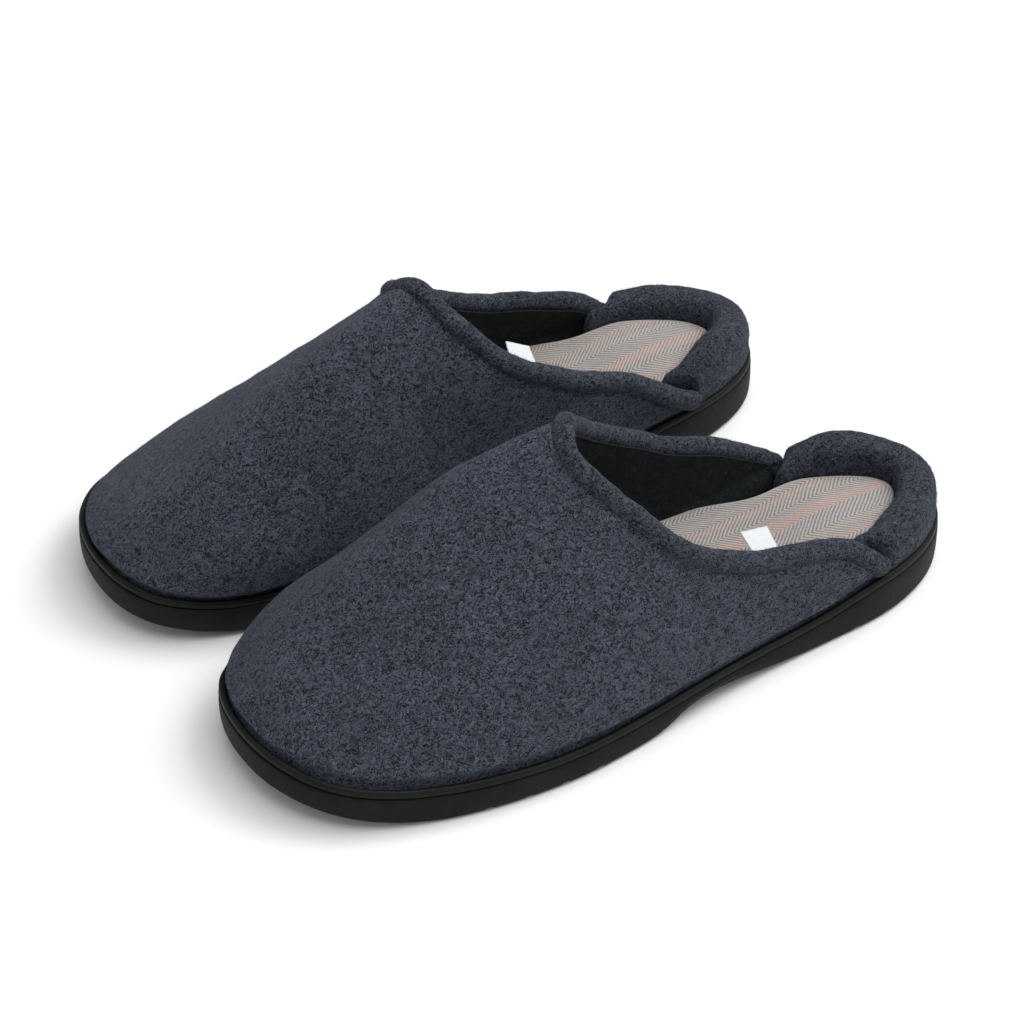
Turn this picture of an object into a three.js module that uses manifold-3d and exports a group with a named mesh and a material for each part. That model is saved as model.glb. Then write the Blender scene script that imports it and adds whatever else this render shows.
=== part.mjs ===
// Pair of men's backless house / spa slippers (felt mules on a rubber sole).
// Units: millimetres, +Z up, toes toward -Y, wearer's left slipper at +X.
// Origin: on the floor, in the middle of the pair.
//
// Each slipper is built in a local frame: x lateral (+) / medial (-),
// y from the toe tip (0) to the back of the heel (290), z up from the floor.
import * as THREE from 'three';
import Module from 'manifold-3d';

// ------------------------------------------------------------------ driving dimensions
const LENGTH = 290;            // outsole length
const PAIR_X = 60.43;          // distance of each slipper's axis from the pair's middle
const PAIR_Y = 2.87;           // the right slipper stands this much ahead of the middle, the left behind
const N_RING = 40;             // points round the sole outline
const RAND_H = 3.25;           // height of the rand band
const RAND_IN = 2.9;           // inner face of the rand, from the sole outline
const FELT_IN = 3.2;           // outer felt surface at its lasted edge, from the sole outline
const FELT_T = 2.2;            // felt thickness
const FOAM_T = 2.2;            // interlining foam thickness
const LINING_T = 0.9;          // lining thickness
const GAP = 0.3;               // clearance kept between neighbouring pieces
const DOME_C = 0.12;           // rounding of the ridge of the upper
const BULGE = 3.5; // how far the felt swells out over the rand
const BIND_R = 3.9;            // radius of the rolled topline binding
const BIND_IN = 1.6;           // binding centre below the outer felt surface
const VAMP_FIRST = 4;          // outline points between which the upper is lasted
const VAMP_LAST = 36;
const ROWS = 8;                 // rows of the upper from the lasted edge to the topline
const PUFF_COLS = [8, 24], PUFF_ROWS = 4;  // part of the upper stiffened by the toe puff
const LABEL_W = 12, LABEL_L = 13, LABEL_T = 0.6;

// sole outline, equally spaced, from the heel round the lateral side
const OUTLINE = [[-0.3, 290.0], [14.3, 285.4], [25.5, 275.0], [33.0, 261.6], [37.6, 246.9], [39.7, 231.6], [40.9, 216.2], [42.5, 200.8], [44.4, 185.5], [46.7, 170.3], [49.4, 155.1], [52.2, 139.9], [54.8, 124.7], [56.7, 109.4], [57.3, 94.0], [56.5, 78.5], [54.5, 63.2], [51.1, 48.2], [46.2, 33.6], [38.8, 20.1], [27.5, 9.6], [13.7, 2.8], [-1.4, 0.1], [-16.8, 0.8], [-31.3, 6.0], [-42.0, 16.9], [-48.2, 31.0], [-51.2, 46.1], [-51.9, 61.5], [-50.9, 76.9], [-48.6, 92.2], [-45.8, 107.3], [-43.1, 122.5], [-40.9, 137.8], [-39.3, 153.2], [-38.3, 168.6], [-37.7, 184.0], [-37.5, 199.4], [-37.4, 214.8], [-37.3, 230.3], [-36.1, 245.6], [-32.2, 260.6], [-25.4, 274.4], [-14.8, 285.4]];
// height of the line between side wall and rand, along the slipper
const GROOVE = [[0, 20.2], [5, 19.0], [10, 17.4], [20, 15.6], [30, 14.1], [40, 12.9], [52, 12.0], [68, 11.1], [92, 10.2], [125, 10.0], [160, 10.0], [200, 10.2], [218, 11.4], [234, 14.2], [246, 15.5], [262, 15.6], [290, 15.2]];
// height of the tread's lower edge: toe spring, forefoot contact, lifted arch, heel contact
const TREAD = [[0, 8.2], [5, 7.4], [10, 6.4], [18, 4.9], [26, 3.3], [34, 1.9], [42, 0.8], [50, 0.15], [56, 0], [130, 0], [136, 0.3], [143, 1.8], [149, 4.2], [155, 5.6], [163, 6.0], [173, 5.0], [183, 3.5], [193, 2.0], [203, 0.8], [210, 0.15], [215, 0], [274, 0], [280, 0.2], [286, 0.9], [290, 1.8]];
// floor of the cup inside the outsole
const CUP = [[0, 12.5], [12, 9.6], [25, 6.9], [40, 4.6], [56, 3.6], [125, 3.6], [138, 5.0], [150, 7.4], [163, 8.2], [178, 7.4], [195, 5.2], [212, 3.9], [270, 3.9], [290, 5.2]];
// crown height of the upper over its lasted edge, along the slipper
const CROWN = [[3.0, 0], [5.6, 6.4], [9, 11.2], [17, 19.6], [28, 30.3], [45, 44.2], [70, 60.5], [100, 78.2], [135, 88.4], [180, 88.7], [245, 52.3]];
// how far the upper leans toward the medial side per mm of rise, along the slipper
const LEAN = [[0, 0], [30, 0.455], [60, 0.315], [100, 0.266], [135, 0.177], [180, 0.132], [205, 0.118], [245, 0.256]];
// cross-section exponents of the upper, along the slipper: pointed at the toe, fuller at the wings
const DOME_N = [[0, 1.0], [60, 1.1], [120, 0.96], [165, 1.13], [245, 1.53]];
const DOME_M = [[0, 1.642], [60, 1.853], [120, 2.049], [165, 3.378], [245, 1.668]];
// topline on the dome of the upper: [y, a], a = share of the half width
const TOPLINE = [[243.0, 0.9885], [241.8, 0.982], [238.6, 0.9713], [227.4, 0.9381], [209.3, 0.9472], [183.1, 0.9561], [156.9, 0.8634], [140.1, 0.5373], [129.5, 0.198], [134.6, -0.034], [143.0, -0.4036], [159.1, -0.7879], [185.7, -0.9301], [213.5, -0.9323], [228.2, -0.9577], [235.2, -0.972], [240.2, -0.981], [242.4, -0.9885]];

// ------------------------------------------------------------------ small helpers
const v3 = (x, y, z) => [x, y, z];
const sub = (a, b) => [a[0] - b[0], a[1] - b[1], a[2] - b[2]];
const add = (a, b) => [a[0] + b[0], a[1] + b[1], a[2] + b[2]];
const mul = (a, k) => [a[0] * k, a[1] * k, a[2] * k];
const dot = (a, b) => a[0] * b[0] + a[1] * b[1] + a[2] * b[2];
const cross = (a, b) => [a[1] * b[2] - a[2] * b[1], a[2] * b[0] - a[0] * b[2], a[0] * b[1] - a[1] * b[0]];
const len = (a) => Math.hypot(a[0], a[1], a[2]);
const unit = (a) => mul(a, 1 / (len(a) || 1));
const clamp = (t, a, b) => Math.min(b, Math.max(a, t));
const smooth = (t) => { t = clamp(t, 0, 1); return t * t * (3 - 2 * t); };

// monotone cubic through a table
function curve(table) {
  const x = table.map((p) => p[0]), y = table.map((p) => p[1]), n = x.length;
  const h = [], d = [], m = new Array(n).fill(0);
  for (let i = 0; i < n - 1; i++) { h.push(x[i + 1] - x[i]); d.push((y[i + 1] - y[i]) / h[i]); }
  for (let i = 1; i < n - 1; i++) {
    if (d[i - 1] * d[i] > 0) {
      const w1 = 2 * h[i] + h[i - 1], w2 = h[i] + 2 * h[i - 1];
      m[i] = (w1 + w2) / (w1 / d[i - 1] + w2 / d[i]);
    }
  }
  m[0] = d[0]; m[n - 1] = d[n - 2];
  return (t) => {
    if (t <= x[0]) return y[0];
    if (t >= x[n - 1]) return y[n - 1];
    let i = 0; while (t > x[i + 1]) i++;
    const s = (t - x[i]) / h[i], s2 = s * s, s3 = s2 * s;
    return (2 * s3 - 3 * s2 + 1) * y[i] + (s3 - 2 * s2 + s) * h[i] * m[i] + (-2 * s3 + 3 * s2) * y[i + 1] + (s3 - s2) * h[i] * m[i + 1];
  };
}
const groove = curve(GROOVE), tread = curve(TREAD), cup = curve(CUP), crown = curve(CROWN), lean = curve(LEAN), domeN = curve(DOME_N), domeM = curve(DOME_M);
const lastZ = (y) => groove(y) + 2.3;   // height at which the upper is lasted

// closed Catmull-Rom through the outline; s in 0..1 from the heel, lateral side first
function outline(s) {
  const n = OUTLINE.length; let t = (s - Math.floor(s)) * n; const i = Math.floor(t); t -= i;
  const p = [-1, 0, 1, 2].map((k) => OUTLINE[(i + k + n) % n]);
  return [0, 1].map((k) => 0.5 * (2 * p[1][k] + (p[2][k] - p[0][k]) * t + (2 * p[0][k] - 5 * p[1][k] + 4 * p[2][k] - p[3][k]) * t * t + (3 * p[1][k] - p[0][k] - 3 * p[2][k] + p[3][k]) * t * t * t));
}
function outNormal(s) {
  const a = outline(s - 0.004), b = outline(s + 0.004);
  const tx = b[0] - a[0], ty = b[1] - a[1], l = Math.hypot(tx, ty);
  return [-ty / l, tx / l];              // outward: the outline runs heel -> lateral -> toe
}
const flat = (s, inset) => { const p = outline(s), n = outNormal(s); return [p[0] - n[0] * inset, clamp(p[1] - n[1] * inset, 0, LENGTH)]; };

// ------------------------------------------------------------------ solids from point grids
function solidFrom(P, T) { return { P, T }; }

// closed rings (same count, ladder caps at both ends); ring 0 is the cap that faces down
function stack(rings) {
  const n = rings[0].length, P = rings.flat(), T = [];
  for (let r = 0; r < rings.length - 1; r++) for (let i = 0; i < n; i++) {
    const a = r * n + i, b = r * n + (i + 1) % n, c = a + n, d = b + n;
    T.push([a, b, d], [a, d, c]);
  }
  const cap = (o, flip) => {
    for (let i = 0; i < n / 2; i++) {
      const a = o + i, b = o + i + 1, c = o + (n - i - 1) % n, d = o + (n - i) % n;
      const q = i === 0 ? [[a, b, c]] : (i === n / 2 - 1 ? [[a, b, d]] : [[a, b, c], [a, c, d]]);
      for (const t of q) T.push(flip ? [t[0], t[2], t[1]] : t);
    }
  };
  cap(0, true); cap((rings.length - 1) * n, false);
  return solidFrom(P, T);
}
// closed loop of closed profiles
function hoop(sections) {
  const m = sections.length, k = sections[0].length, P = sections.flat(), T = [];
  for (let i = 0; i < m; i++) for (let j = 0; j < k; j++) {
    const a = i * k + j, b = i * k + (j + 1) % k, c = ((i + 1) % m) * k + j, d = ((i + 1) % m) * k + (j + 1) % k;
    T.push([a, b, d], [a, d, c]);
  }
  return solidFrom(P, T);
}
// open sweep of closed profiles; ends closed by the triangulation of the profile
function sweep(sections, faces) {
  const m = sections.length, k = sections[0].length, P = sections.flat(), T = [];
  for (let i = 0; i < m - 1; i++) for (let j = 0; j < k; j++) {
    const a = i * k + j, b = i * k + (j + 1) % k, c = a + k, d = b + k;
    T.push([a, b, d], [a, d, c]);
  }
  const end = faces || Array.from({ length: k - 2 }, (_, j) => [0, j + 1, j + 2]);
  for (const f of end) { T.push([f[0], f[2], f[1]]); T.push(f.map((q) => q + (m - 1) * k)); }
  return solidFrom(P, T);
}
// shell between two grids [u][v]
function shell(A, B) {
  const nu = A.length, nv = A[0].length, P = [...A.flat(), ...B.flat()], T = [], o = nu * nv;
  for (let i = 0; i < nu - 1; i++) for (let j = 0; j < nv - 1; j++) {
    const a = i * nv + j, b = a + 1, c = a + nv, d = c + 1;
    T.push([a, d, b], [a, c, d]); T.push([o + a, o + b, o + d], [o + a, o + d, o + c]);
  }
  const edge = (a, b) => { T.push([a, b, o + b], [a, o + b, o + a]); };
  for (let j = 0; j < nv - 1; j++) { edge(j, j + 1); edge((nu - 1) * nv + j + 1, (nu - 1) * nv + j); }
  for (let i = 0; i < nu - 1; i++) { edge((i + 1) * nv, i * nv); edge(i * nv + nv - 1, (i + 1) * nv + nv - 1); }
  return solidFrom(P, T);
}
function volume(s) { let v = 0; for (const t of s.T) v += dot(s.P[t[0]], cross(s.P[t[1]], s.P[t[2]])) / 6; return v; }
function outward(s) { return volume(s) < 0 ? { P: s.P, T: s.T.map((t) => [t[0], t[2], t[1]]) } : s; }

const ringAt = (inset, z, n = N_RING) => Array.from({ length: n }, (_, i) => {
  const s = i / n, d = typeof inset === 'function' ? inset(s) : inset, p = flat(s, d);
  return v3(p[0], p[1], z(p[1]));
});

// ------------------------------------------------------------------ the upper's surface
// half width and centre of the lasted edge at each y
const edgeTable = (() => {
  const L = [], M = []; const n = 400;
  for (let i = 0; i <= n; i++) { const p = flat(i / n, FELT_IN); (i <= n / 2 ? L : M).push(p); }
  const tip = [...L, ...M].reduce((a, b) => (b[1] < a[1] ? b : a));
  const lat = [...L, ...M].filter((p) => p[0] >= tip[0]).sort((a, b) => a[1] - b[1]);
  const med = [...L, ...M].filter((p) => p[0] <= tip[0]).sort((a, b) => a[1] - b[1]);
  const at = (q, y) => {
    if (y <= q[0][1]) return q[0][0];
    for (let i = 0; i < q.length - 1; i++) if (y <= q[i + 1][1]) { const t = (y - q[i][1]) / ((q[i + 1][1] - q[i][1]) || 1); return q[i][0] + t * (q[i + 1][0] - q[i][0]); }
    return q[q.length - 1][0];
  };
  return { y0: tip[1], at: (y) => { const a = at(lat, y), b = at(med, y); return [(a + b) / 2, Math.max((a - b) / 2, 0.01)]; } };
})();
function dome(xp, y) {            // rise over the lasted edge at an unsheared plan position
  const [xc, w] = edgeTable.at(y); const h = clamp(Math.abs(xp - xc) / w, 0, 1);
  const a = (Math.sqrt(h * h + DOME_C * DOME_C) - DOME_C) / (Math.sqrt(1 + DOME_C * DOME_C) - DOME_C);
  return crown(Math.max(y - edgeTable.y0 + 3.0, 3.0)) * Math.pow(Math.max(1 - Math.pow(a, domeN(y)), 0), 1 / domeM(y));
}
const bulge = (dz) => BULGE * smooth((dz - 1.2) / 5) * (1 - smooth((dz - 9) / 34));
// topline in plan, resampled evenly to one point per column of the upper
const COLS = VAMP_LAST - VAMP_FIRST;
const topPlan = (() => {
  const q = [], c = TOPLINE.length;
  for (let i = 0; i < c - 1; i++) for (let k = 0; k < 12; k++) {
    const t = k / 12, p = [-1, 0, 1, 2].map((d) => TOPLINE[clamp(i + d, 0, c - 1)]);
    q.push([0, 1].map((e) => 0.5 * (2 * p[1][e] + (p[2][e] - p[0][e]) * t + (2 * p[0][e] - 5 * p[1][e] + 4 * p[2][e] - p[3][e]) * t * t + (3 * p[1][e] - p[0][e] - 3 * p[2][e] + p[3][e]) * t * t * t)));
  }
  q.push(TOPLINE[c - 1]);
  const pts = q.map(([y, a]) => { const [xc, w] = edgeTable.at(y); const xp = xc + a * w; const dz = dome(xp, y); return { plan: [xp, y], p: v3(xp - lean(y) * dz, y, lastZ(y) + dz) }; });
  const d = [0]; for (let i = 1; i < pts.length; i++) d.push(d[i - 1] + len(sub(pts[i].p, pts[i - 1].p)));
  return (u) => { const t = clamp(u, 0, 1) * d[d.length - 1]; let i = 0; while (i < d.length - 2 && t > d[i + 1]) i++; const k = (t - d[i]) / (d[i + 1] - d[i]); return [0, 1].map((e) => pts[i].plan[e] + k * (pts[i + 1].plan[e] - pts[i].plan[e])); };
})();
function upper(u, v) {            // outer felt surface: u along the edge, v from the lasted edge to the topline
  const s = (VAMP_FIRST + u * COLS) / N_RING, F = flat(s, FELT_IN), T = topPlan(u), n = outNormal(s);
  const q = Math.pow(v, 1.8), y = F[1] + q * (T[1] - F[1]), straight = F[0] + q * (T[0] - F[0]);
  // along the wings the rows follow the sole's edge, round the toe they run straight
  const side = u < 0.5 ? 1 : -1, [ct, wt] = edgeTable.at(T[1]), [cy, wy] = edgeTable.at(y);
  const along = cy + (side + q * ((T[0] - ct) / wt - side)) * wy;
  const xp = straight + smooth((Math.abs(u - 0.5) - 0.13) / 0.12) * (along - straight);
  const dz = v <= 0 ? 0 : dome(xp, y), b = bulge(dz);
  return v3(xp - lean(y) * dz + n[0] * b, y + n[1] * b, lastZ(y) + dz);
}
function upperNormal(u, v) {
  const e = 0.004, u0 = Math.max(u - e, 0), u1 = Math.min(u + e, 1), w0 = Math.max(v - e, 0.0005), w1 = Math.min(v + e, 1);
  return unit(cross(sub(upper(u, w1), upper(u, w0)), sub(upper(u1, v), upper(u0, v))));
}
// a point t below the outer felt surface
const skin = (u, v, t) => { const n = upperNormal(u, Math.max(v, 0.04)); return add(upper(u, v), mul(v < 0.04 ? unit([n[0], n[1], 0]) : n, -t)); };
const inner1 = FELT_T + GAP, inner2 = inner1 + FOAM_T, inner3 = inner2 + GAP + 0.7, inner4 = inner3 + LINING_T;

const bindingCentre = (u) => skin(u, 1, BIND_IN);
const bindingLine = Array.from({ length: 161 }, (_, i) => bindingCentre(i / 160));
const toBinding = (p) => bindingLine.reduce((m, c) => Math.min(m, len(sub(p, c))), 1e9);
// the layers of the upper stop just short of the rolled binding: one height per column
const vTop = Array.from({ length: COLS + 1 }, (_, i) => {
  const u = i / COLS; let v = 1;
  while (v > 0.05 && [0, inner1, inner3, inner4].some((t) => toBinding(skin(u, v, t)) < BIND_R + 0.8)) v -= 0.005;
  return v;
});
// one layer of the upper between depths t0 and t1; columns c0..c1, rows 0..r1 of the shared grid
function layer(t0, t1, c0 = 0, c1 = COLS, r1 = ROWS) {
  const A = [], B = [];
  for (let i = c0; i <= c1; i++) {
    const a = [], b = [];
    for (let j = 0; j <= r1; j++) { const v = vTop[i] * j / ROWS; a.push(skin(i / COLS, v, typeof t0 === 'function' ? t0(i, j) : t0)); b.push(skin(i / COLS, v, t1)); }
    A.push(a); B.push(b);
  }
  return outward(shell(A, B));
}

// ------------------------------------------------------------------ pieces in the local frame
const wasm = await Module(); wasm.setup();
function toManifold(s) {
  return new wasm.Manifold(new wasm.Mesh({ numProp: 3, vertProperties: new Float32Array(s.P.flat()), triVerts: new Uint32Array(s.T.flat()) }));
}
function fromManifold(m) {
  const g = m.getMesh(), P = [], T = [];
  for (let i = 0; i < g.vertProperties.length; i += g.numProp) P.push([g.vertProperties[i], g.vertProperties[i + 1], g.vertProperties[i + 2]]);
  for (let i = 0; i < g.triVerts.length; i += 3) T.push([g.triVerts[i], g.triVerts[i + 1], g.triVerts[i + 2]]);
  return { P, T };
}
function boxSolid(cx, cy, cz, sx, sy, sz, turn = 0) {
  const g = new THREE.BoxGeometry(sx, sy, sz), pos = g.getAttribute('position'), P = [], T = [], key = new Map(), map = [];
  const c = Math.cos(turn), s = Math.sin(turn);
  for (let i = 0; i < pos.count; i++) {
    const x = pos.getX(i), y = pos.getY(i), z = pos.getZ(i), k = `${x},${y},${z}`;
    if (!key.has(k)) { key.set(k, P.length); P.push([cx + c * x - s * y, cy + s * x + c * y, cz + z]); }
    map.push(key.get(k));
  }
  const ix = g.getIndex(); for (let i = 0; i < ix.count; i += 3) T.push([map[ix.getX(i)], map[ix.getX(i + 1)], map[ix.getX(i + 2)]]);
  return { P, T };
}

function makeOutsole() {
  const z = (f, k) => (y) => f(y) + k;
  const body = outward(stack([
    ringAt(2.2, tread), ringAt(0.5, z(tread, 1.1)), ringAt(0, z(tread, 2.6)),
    ringAt(0.1, z(groove, -1.1)), ringAt(0.7, z(groove, -0.15)), ringAt(3.7, z(groove, -0.15)),
    ringAt(4.0, (y) => Math.min(cup(y) , groove(y) - 1.4)),
  ]));
  let m = toManifold(body);
  // shallow cross grooves in the forefoot and heel tread
  for (const [y, t] of [[64, 0.06], [79, 0.06], [94, 0.05], [109, 0.04], [232, 0], [247, 0], [262, 0]]) m = m.subtract(toManifold(boxSolid(0, y, 0, 140, 3, 3.2, t)));
  return fromManifold(m);
}
function makeRand() {
  const prof = [[0.9, 0.15], [0.35, 0.8], [0.35, 2.5], [0.9, RAND_H], [1.9, RAND_H], [RAND_IN, 2.1], [RAND_IN, 0.15]];
  return outward(hoop(Array.from({ length: N_RING }, (_, i) => prof.map(([d, h]) => { const p = flat(i / N_RING, d); return v3(p[0], p[1], groove(flat(i / N_RING, 0)[1]) + h); }))));
}
const slab = (inset, z0, z1) => outward(stack([ringAt(inset, z0), ringAt(inset, z1)]));
const collarIn = (side) => 17.2 - 1.9 * smooth((side - 0.05) / 0.05);     // inner face of the heel collar
const footInset = (s) => {
  const t = Math.min(s, 1 - s), heel = collarIn(t) + 0.7, side = 10.4 + 1.6 * smooth((t - 0.24) / 0.08) + 6.8 * smooth((t - 0.36) / 0.08);
  return side + (heel - side) * (1 - smooth((t - 0.117) / 0.04));
};
const footZ = (y) => lastZ(y) + 6.4;   // top of the footbed foam
function makeFootbedCover() {
  const d = (k) => (s) => footInset(s) + k;
  return outward(stack([ringAt(d(0.9), (y) => footZ(y) + GAP), ringAt(d(0.1), (y) => footZ(y) + GAP + 0.5), ringAt(d(0.8), (y) => footZ(y) + GAP + 1.3)]));
}
// heel collar: runs from the lateral wing round the heel to the medial wing
const COLLAR_HALF = 0.113, COLLAR_ST = 28;
function collarFrame(k) {
  const s = -COLLAR_HALF + 2 * COLLAR_HALF * k, side = Math.abs(s), n = outNormal(s), y = flat(s, 4)[1];
  const out = 1.5 + 8.9 * smooth((side - 0.083) / 0.014);
  const tall = 16.5 + (s < 0 ? 4.5 : -0.5) * smooth(side / 0.075) - 2.5 * smooth((side - 0.085) / 0.015);
  return { s, out, inn: collarIn(side), z0: groove(flat(s, 0)[1]) + RAND_H + 0.35, tall: tall - 1.2, n };
}
function collarProfile(f, shrink) {
  const mid = (f.out + f.inn) / 2, hw = (f.inn - f.out) / 2 - shrink, h = f.tall - shrink, pts = [];
  for (let i = 0; i <= 6; i++) { const a = Math.PI * i / 6; pts.push([mid - hw * Math.cos(a), f.z0 + h * (0.42 + 0.58 * Math.sin(a))]); }
  pts.unshift([mid - hw, f.z0]); pts.push([mid + hw, f.z0]);
  return pts.map(([d, z]) => { const p = outline(f.s); return v3(p[0] - f.n[0] * d, p[1] - f.n[1] * d, z); });
}
function makeCollarCover() {
  const st = Array.from({ length: COLLAR_ST + 1 }, (_, i) => { const f = collarFrame(i / COLLAR_ST); return [...collarProfile(f, 0), ...collarProfile(f, 1.4).reverse()]; });
  const k = 9, faces = []; for (let j = 0; j < k - 1; j++) faces.push([j, j + 1, 2 * k - 2 - j], [j, 2 * k - 2 - j, 2 * k - 1 - j]);
  return outward(sweep(st, faces));
}
function makeCollarFoam() {
  return outward(sweep(Array.from({ length: COLLAR_ST + 1 }, (_, i) => collarProfile(collarFrame(0.15 + 0.70 * i / COLLAR_ST), 1.95))));
}
function makeBinding() {
  const n = 44, c = Array.from({ length: n + 1 }, (_, i) => bindingCentre(i / n)), st = [];
    for (let i = 0; i <= n; i++) {
    const t = unit(sub(c[Math.min(i + 1, n)], c[Math.max(i - 1, 0)]));
    let nn = upperNormal(i / n, 1); nn = unit(sub(nn, mul(t, dot(nn, t))));
    const b = cross(t, nn);
    const r = BIND_R * (i === 0 || i === n ? 0.8 : 1);
    st.push(Array.from({ length: 8 }, (_, j) => { const a = Math.PI * 2 * (j + 0.5) / 8; return add(c[i], add(mul(nn, Math.cos(a) * r), mul(b, Math.sin(a) * r))); }));
  }
  return outward(sweep(st));
}
function labelFrame({ u, lift, drop }) {
  const n = upperNormal(u, 0.8), T = upper(u, 1);
  let v = 1; while (len(sub(upper(u, v), T)) < drop) v -= 0.01;
  const root = add(upper(u, v), mul(n, -(inner4 + 0.7)));
  const e1 = unit(sub(skin(u + 0.02, v, inner4), skin(u - 0.02, v, inner4)));
  let inw = mul(n, -1); inw = unit([inw[0], inw[1], 0]); inw = unit(sub(inw, mul(e1, dot(inw, e1))));
  const upv = unit(cross(e1, inw)), w = upv[2] > 0 ? upv : mul(upv, -1);
  const e2 = unit(add(mul(inw, Math.cos(lift)), mul(w, Math.sin(lift)))), e3 = unit(cross(e1, e2));
  return { root, e1, e2, e3 };
}
function makeLabel(at) {
  const { root, e1, e2, e3 } = labelFrame(at), P = [];
  for (const c of [0, LABEL_L]) for (const [a, b] of [[-1, -1], [1, -1], [1, 1], [-1, 1]]) P.push(add(root, add(mul(e2, c), add(mul(e1, a * LABEL_W / 2), mul(e3, b * LABEL_T / 2)))));
  const T = [[0, 2, 1], [0, 3, 2], [4, 5, 6], [4, 6, 7], [0, 1, 5], [0, 5, 4], [1, 2, 6], [1, 6, 5], [2, 3, 7], [2, 7, 6], [3, 0, 4], [3, 4, 7]];
  return outward({ P, T });
}
// where each side label hangs: place along the topline, tilt of its free end, distance below the topline
const LABELS = { left: { u: 0.135, lift: 0.3, drop: 9 }, right: { u: 0.745, lift: 0.35, drop: 2.5 } };
const nextFlat = (z, k) => (y) => z(y) + k;

const underPuff = (i, j) => inner1 + (i >= PUFF_COLS[0] - 1 && i <= PUFF_COLS[1] + 1 && j <= PUFF_ROWS ? 1.15 : 0);
const pieces = {
  outsole: makeOutsole(),
  rand: makeRand(),
  midsole_foam: slab(4.4, (y) => Math.min(cup(y), groove(y) - 1.4) + 0.55, nextFlat(groove, -0.3)),
  insole_board: slab(RAND_IN + GAP, nextFlat(groove, 0.2), nextFlat(groove, 1.3)),
  footbed_foam: slab(footInset, nextFlat(lastZ, -0.1), footZ),
  footbed_cover: makeFootbedCover(),
  vamp_outer: layer(0, FELT_T),
  toe_puff: layer(inner1, inner1 + 0.8, PUFF_COLS[0], PUFF_COLS[1], PUFF_ROWS),
  vamp_foam: layer(underPuff, inner2),
  vamp_lining: layer((i, j) => inner3 + (j > 0 && j < 5 ? 0.4 : 0), inner4),
  topline_binding: makeBinding(),
  collar_cover: makeCollarCover(),
  collar_foam: makeCollarFoam(),
};

// ------------------------------------------------------------------ materials
const FINISH = {
  outsole: [0x1b1b1c, 0.75], rand: [0x202021, 0.7], midsole_foam: [0x3a3a3c, 0.95], insole_board: [0x8a7a60, 0.9],
  footbed_foam: [0xd8d4c8, 0.95], footbed_cover: [0xa39a92, 0.95], vamp_outer: [0x3a4150, 0.98], toe_puff: [0xcfc8b8, 0.9],
  vamp_foam: [0xc9c6bd, 0.95], vamp_lining: [0x2a2a2c, 0.98], topline_binding: [0x3c4352, 0.98], collar_cover: [0x3a4150, 0.98],
  collar_foam: [0xc9c6bd, 0.95], label: [0xf2f2f0, 0.6],
};

// ------------------------------------------------------------------ assembly
const pair = new THREE.Group();
pair.name = 'slippers';
function addSlipper(side) {
  const sign = side === 'left' ? 1 : -1, group = new THREE.Group();
  group.position.set(sign * PAIR_X, sign * PAIR_Y - LENGTH / 2, 0);
  const all = { ...pieces, label: makeLabel(LABELS[side]) };
  for (const [name, s] of Object.entries(all)) {
    const g = new THREE.BufferGeometry(), pos = new Float32Array(s.P.length * 3);
    s.P.forEach((p, i) => { pos[3 * i] = sign * p[0]; pos[3 * i + 1] = p[1]; pos[3 * i + 2] = p[2]; });
    g.setAttribute('position', new THREE.BufferAttribute(pos, 3));
    g.setIndex(s.T.flatMap((t) => (sign > 0 ? t : [t[0], t[2], t[1]])));
    g.computeVertexNormals();
    const [color, roughness] = FINISH[name];
    const mesh = new THREE.Mesh(g, new THREE.MeshStandardMaterial({ color, roughness, metalness: 0 }));
    mesh.name = `${side}_${name}`;
    group.add(mesh);
  }
  pair.add(group);
}
addSlipper('left');
addSlipper('right');

export default pair;
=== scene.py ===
"""Pair of felt house slippers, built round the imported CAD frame. Millimetres in each slipper's own
frame (x lateral, y from toe tip to heel, z up), turned into metres in the row frame at the end."""
import math

import bpy
import numpy as np
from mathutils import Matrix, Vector


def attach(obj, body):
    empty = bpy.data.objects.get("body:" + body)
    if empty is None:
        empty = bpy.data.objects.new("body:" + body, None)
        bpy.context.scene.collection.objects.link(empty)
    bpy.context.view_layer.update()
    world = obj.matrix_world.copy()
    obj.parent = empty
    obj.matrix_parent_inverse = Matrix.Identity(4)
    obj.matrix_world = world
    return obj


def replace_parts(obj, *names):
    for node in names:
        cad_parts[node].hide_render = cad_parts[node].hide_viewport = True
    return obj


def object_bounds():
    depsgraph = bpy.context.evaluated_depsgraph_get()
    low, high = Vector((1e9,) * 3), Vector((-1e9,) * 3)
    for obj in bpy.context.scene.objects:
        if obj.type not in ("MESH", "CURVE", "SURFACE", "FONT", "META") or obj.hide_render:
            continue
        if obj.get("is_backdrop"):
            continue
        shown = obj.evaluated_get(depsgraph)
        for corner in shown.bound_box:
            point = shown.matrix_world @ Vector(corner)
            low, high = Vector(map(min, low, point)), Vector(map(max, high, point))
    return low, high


# ------------------------------------------------------------------ dimensions (as in the CAD)
LENGTH = 290.0
PAIR_X, PAIR_Y = 60.43, 2.87
RAND_H = 3.25
FELT_IN = 3.2
FELT_T, FOAM_T, LINING_T, GAP = 2.2, 2.2, 0.9, 0.3
LEAN = [[0, 0], [30, 0.455], [60, 0.315], [100, 0.266], [135, 0.177], [180, 0.132], [205, 0.118], [245, 0.256]]
DOME_C = 0.12
DOME_N = [[0, 1.0], [60, 1.1], [120, 0.96], [165, 1.13], [245, 1.53]]
DOME_M = [[0, 1.642], [60, 1.853], [120, 2.049], [165, 3.378], [245, 1.668]]
BULGE = 3.5
BIND_R, BIND_IN = 3.9, 1.6
S_FIRST, S_LAST = 0.1, 0.9
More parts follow.
